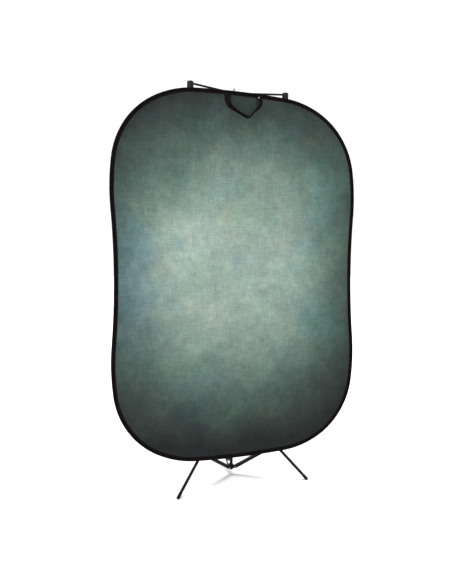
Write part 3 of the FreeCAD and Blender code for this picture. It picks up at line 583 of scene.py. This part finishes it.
# Along one stitch, in halves of its length: how far along, how thick, and how high. The ends dip into the
# cloth.
STITCH_STATIONS = (
    (-1.0, 0.25, -0.9), (-0.72, 0.85, -0.15), (-0.3, 1.0, 0.25),
    (0.3, 1.0, 0.25), (0.72, 0.85, -0.15), (1.0, 0.25, -0.9),
)
STITCH_SIDES = 6
STITCH_SHARE = 0.40
RIM_STITCHES = 1290
RIM_STITCH_DEPTH = 0.0195
RIM_STITCH_HEIGHT = 0.00245


def make_stitches(name, side, height, stitches, material):
    """Lock stitches as short rounded threads. Each is its middle and half its run, as (u, v) vectors."""
    verts = []
    faces = []
    last = STITCH_SIDES * (len(STITCH_STATIONS) - 1)
    for middle, run in stitches:
        across = Vector((-run.y, run.x)).normalized()
        start = len(verts)
        for step, thick, lift in STITCH_STATIONS:
            for corner in range(STITCH_SIDES):
                angle = 2 * math.pi * corner / STITCH_SIDES
                spot = middle + run * step + across * math.cos(angle) * THREAD_RADIUS * thick
                up = height + (lift + math.sin(angle) * thick) * THREAD_RADIUS
                verts.append(panel_point(spot.x, side * up, spot.y))
        ends = [tuple(range(start + at + STITCH_SIDES - 1, start + at - 1, -1)) for at in (0, last)]
        made = grid_faces(len(STITCH_STATIONS), STITCH_SIDES, close_columns=True, start=start)
        made += [ends[0], tuple(reversed(ends[1]))]
        faces += made if side > 0 else [tuple(reversed(face)) for face in made]
    return finish_piece(new_piece(name, verts, faces), "panel", material)


def rim_stitches(side):
    """One row round the tape, close to its inner lip, wandering with it."""
    points, around = outline(RIM_STITCHES)
    half = around / len(points) * STITCH_SHARE
    row = []
    for index, (place, outward, _) in enumerate(points):
        depth = RIM_STITCH_DEPTH + 0.0005 * tape_wander(place)
        slant = 0.10 * noise.noise(Vector((index * 0.7, side, 3.3)))
        along = Vector((outward.y, -outward.x))
        row.append((place - outward * depth, (along + outward * slant) * half))
    return row


def box_stitches(low, high, pitch):
    """A sewn box with a cross in it, between two corners."""
    a, b, c, d = Vector(low), Vector((high[0], low[1])), Vector(high), Vector((low[0], high[1]))
    row = []
    for start, stop in ((a, b), (b, c), (c, d), (d, a), (a, c), (b, d)):
        count = round((stop - start).length / pitch)
        step = (stop - start) / count
        row += [(start + step * (index + 0.5), step * STITCH_SHARE) for index in range(count)]
    return row


# ---------------------------------------------------------------- the hanging strap

STRAP_HALF_WIDTH = 0.018
STRAP_HALF_THICK = 0.0008
# Middle line of the webbing in the panel's frame, and how far it is turned from facing the front, in degrees.
STRAP_PATH = (
    (-0.0895, 0.0066, 1.0520, 0), (-0.0895, 0.0070, 1.0330, 0), (-0.0890, 0.0085, 1.0140, 22),
    (-0.0840, 0.0150, 0.9880, 60), (-0.0660, 0.0240, 0.9640, 82), (-0.0340, 0.0265, 0.9450, 89),
    (0.0000, 0.0270, 0.9290, 90), (0.0200, 0.0270, 0.9208, 88), (0.0330, 0.0270, 0.9185, 84),
    (0.0450, 0.0270, 0.9275, 72), (0.0720, 0.0270, 0.9580, 69), (0.0965, 0.0250, 0.9830, 60),
    (0.1110, 0.0180, 1.0030, 46), (0.1130, 0.0110, 1.0190, 28), (0.1095, 0.0074, 1.0350, 6),
    (0.1077, 0.0066, 1.0520, 0),
)
STRAP_SAMPLES = 8
STRAP_CELLS = 10
# Corners of the seams that hold its two ends to the tape.
TAB_SEAMS = (((-0.1040, 1.0270), (-0.0750, 1.0485)), ((0.1160, 1.0270), (0.1225, 1.0485)))
TAB_SEAM_PITCH = 0.0028
TAB_SEAM_HEIGHT = 0.0075


def between(p, q, r, s, t):
    """The Catmull-Rom value at the share t of the way from q to r."""
    bend = 2 * p - 5 * q + 4 * r - s
    twist = 3 * q - p - 3 * r + s
    return 0.5 * (2 * q + (r - p) * t + bend * t ** 2 + twist * t ** 3)


def smooth_line(points, samples):
    """A smooth line through points of any number of values, with that many steps from each to the next."""
    line = []
    ends = [points[0], *points, points[-1]]
    for index in range(1, len(ends) - 2):
        a, b, c, d = ends[index - 1:index + 3]
        for step in range(samples):
            share = step / samples
            line.append(tuple(between(*values, share) for values in zip(a, b, c, d)))
    line.append(tuple(points[-1]))
    return line


def make_strap(material):
    """Flat webbing with rounded selvedges, swept along its path and turned edge-on at the bottom."""
    line = smooth_line(STRAP_PATH, STRAP_SAMPLES)
    places = [Vector((u, n, v)) for u, n, v, _ in line]
    section = []
    for index in range(STRAP_CELLS + 1):
        share = -1 + 2 * index / STRAP_CELLS
        thick = STRAP_HALF_THICK * (1 - 0.55 * abs(share) ** 8)
        section.append((share * STRAP_HALF_WIDTH, thick))
    ring = section + [(across, -thick) for across, thick in reversed(section)]
    verts = []
    lengths = [0.0]
    for index, place in enumerate(places):
        ahead = places[min(index + 1, len(places) - 1)]
        behind = places[max(index - 1, 0)]
        run = (ahead - behind).normalized()
        flat = run.cross(Vector((0, 1, 0))).normalized()
        face = flat.cross(run).normalized()
        turn = math.radians(line[index][3])
        across = flat * math.cos(turn) + face * math.sin(turn)
        normal = run.cross(across).normalized()
        if index:
            lengths.append(lengths[-1] + (place - behind).length)
        for offset, thick in ring:
            at = place + across * offset + normal * thick
            verts.append(panel_point(at.x, at.y, at.z))
    columns = len(ring)
    faces = grid_faces(len(places), columns, close_columns=True)
    uvs = []
    offsets = [offset for offset, _ in ring]
    for row in range(len(places) - 1):
        for column in range(columns):
            right = (column + 1) % columns
            for r, c in ((row, column), (row, right), (row + 1, right), (row + 1, column)):
                uvs.append((lengths[r], offsets[c]))
    last = len(places) - 1
    for cap in (tuple(reversed(range(columns))), tuple(range(last * columns, last * columns + columns))):
        faces.append(cap)
        uvs += [(0.0, offsets[index % columns]) for index in cap]
    piece = new_piece("strap_webbing", verts, faces, uvs)
    piece.data.materials.append(material)
    return piece


# ---------------------------------------------------------------- pieces of the panel

canvas = canvas_finish()
backing = backing_finish()
tape = tape_finish("rim_tape_weave", srgb(8, 4, 5), srgb(14, 9, 10), 260.0)
webbing = tape_finish("strap_weave", srgb(9, 6, 6), srgb(19, 14, 12), 240.0)
thread = thread_finish()

make_binding(tape)
face_front, face_flat, face_area = make_fabric("canvas_front", "front_fabric", 1, canvas)
face_back, back_flat, back_area = make_fabric("canvas_back", "back_fabric", -1, backing)
make_stitches("rim_stitches_front", 1, RIM_STITCH_HEIGHT, rim_stitches(1), thread)
make_stitches("rim_stitches_back", -1, RIM_STITCH_HEIGHT, rim_stitches(-1), thread)
tab_rows = [stitch for low, high in TAB_SEAMS for stitch in box_stitches(low, high, TAB_SEAM_PITCH)]
make_stitches("strap_stitches", 1, TAB_SEAM_HEIGHT, tab_rows, thread)

strap = make_strap(webbing)
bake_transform(strap)
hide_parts("hanging_strap", "strap_tabs")

# ---------------------------------------------------------------- finishes of the CAD nodes

black_paint = painted_metal("satin_black_paint")
channel_paint = painted_metal("channel_black_paint", 0.002, 0.005, 0.42)
cast_black = painted_metal("cast_black_crackle", 0.002, 0.004, 0.52, 500.0)
head_black = moulded_plastic("head_black_plastic", srgb(13, 12, 12), srgb(24, 23, 22), 0.26, 0.13)
knob_black = moulded_plastic("knob_black_plastic", srgb(12, 12, 12), srgb(23, 23, 23), 0.48)
glide_grey = moulded_plastic("glide_plastic", srgb(60, 60, 60), srgb(84, 84, 84), 0.45)
rubber = moulded_plastic("foot_black_rubber", srgb(10, 10, 10), srgb(20, 20, 20), 0.75, grain=700.0)
chrome = bright_metal("bright_chrome", (0.24, 0.24, 0.25), (0.36, 0.36, 0.37), 0.14)
nickel = bright_metal("soft_nickel", (0.13, 0.12, 0.10), (0.22, 0.20, 0.17), 0.45, (1, 1, 1))
zinc = bright_metal("zinc_steel", (0.26, 0.27, 0.28), (0.40, 0.41, 0.42), 0.34, (1, 1, 1))
band_steel = bright_metal("spring_band_steel", (0.30, 0.31, 0.33), (0.46, 0.47, 0.49), 0.30)
magnet_metal = bright_metal("magnet_plating", (0.55, 0.55, 0.55), (0.72, 0.72, 0.72), 0.22, (1, 1, 1))
cup_metal = bright_metal("magnet_cup_plating", (0.50, 0.50, 0.50), (0.68, 0.68, 0.68), 0.30, (1, 1, 1))

SLOT_FINISHES = {
    "painted_canvas": canvas, "backing_fabric": backing, "binding_tape": tape, "webbing": webbing,
    "nickel": nickel, "spring_steel": band_steel, "chrome": chrome, "glide_plastic": glide_grey,
    "foot_rubber": rubber, "tube_paint": black_paint, "channel_paint": channel_paint,
    "knob_plastic": knob_black, "zinc_steel": zinc, "magnet_alloy": magnet_metal, "cup_steel": cup_metal,
    "head_plastic": head_black, "cast_black": cast_black,
}
for entry in frame["record"]["subparts"]:
    mesh = NODES[entry["node"]].data
    mesh.materials.clear()
    mesh.materials.append(SLOT_FINISHES[entry["material_slot"]])

# ---------------------------------------------------------------- floor, light and camera


FLOOR_HALF = 40.0


def make_floor():
    """A wide pale floor, a little uneven in shade."""
    look = Finish("studio_floor")
    shade = look.ramp(look.noise(0.8, 2.0, 0.5), ((0.3, (0.62, 0.62, 0.62)), (0.7, (0.65, 0.65, 0.65))))
    look.set(Base_Color=shade, Roughness=0.9, Specular_IOR_Level=0.1)
    verts = [(x * FLOOR_HALF, y * FLOOR_HALF, 0) for x, y in ((-1, -1), (1, -1), (1, 1), (-1, 1))]
    floor = new_piece("studio_floor", verts, [(0, 1, 2, 3)], smooth=False)
    floor.data.materials.append(look.material)


def add_area(name, place, target, size, power):
    """A soft box that faces its target. size is its width and height."""
    light = bpy.data.lights.new(name, "AREA")
    light.shape = "RECTANGLE"
    light.size, light.size_y = size
    light.energy = power
    lamp = bpy.data.objects.new(name, light)
    lamp.location = place
    lamp.rotation_euler = (Vector(target) - Vector(place)).to_track_quat("-Z", "Y").to_euler()
    bpy.context.scene.collection.objects.link(lamp)


make_floor()
world = bpy.data.worlds.new("studio")
world.use_nodes = True
world.node_tree.nodes["Background"].inputs["Color"].default_value = (1, 1, 1, 1)
world.node_tree.nodes["Background"].inputs["Strength"].default_value = 1.10
bpy.context.scene.world = world
bpy.context.scene.view_settings.view_transform = "Standard"
add_area("key", (-3.2, -3.0, 3.6), (0, -0.25, 1.2), (2.4, 2.4), 40)
add_area("strip", (-3.4, -1.6, 1.1), (-0.2, -0.2, 0.7), (0.30, 2.6), 60)
sky = bpy.data.lights.new("overhead", "SUN")
sky.energy = 5.5
sky.angle = math.radians(36)
sky_lamp = bpy.data.objects.new("overhead", sky)
sky_lamp.location = (0, -1.5, 6)
bpy.context.scene.collection.objects.link(sky_lamp)

# The camera stands left of the panel, a little above its middle, and looks slightly down.
CAMERA_PLACE = (-1.1485, -3.1566, 1.3352)
YAW, PITCH, ROLL = (math.radians(angle) for angle in (19.992, 3.407, 0.387))
lens = bpy.data.cameras.new("camera")
lens.sensor_width = 36.0
lens.lens = 32.675
lens.clip_start, lens.clip_end = 0.05, 200.0
camera = bpy.data.objects.new("camera", lens)
turn = Matrix.Rotation(-YAW, 4, "Z") @ Matrix.Rotation(math.pi / 2 - PITCH, 4, "X")
turn = turn @ Matrix.Rotation(ROLL, 4, "Z")
camera.matrix_world = Matrix.Translation(CAMERA_PLACE) @ turn
bpy.context.scene.collection.objects.link(camera)
bpy.context.scene.camera = camera
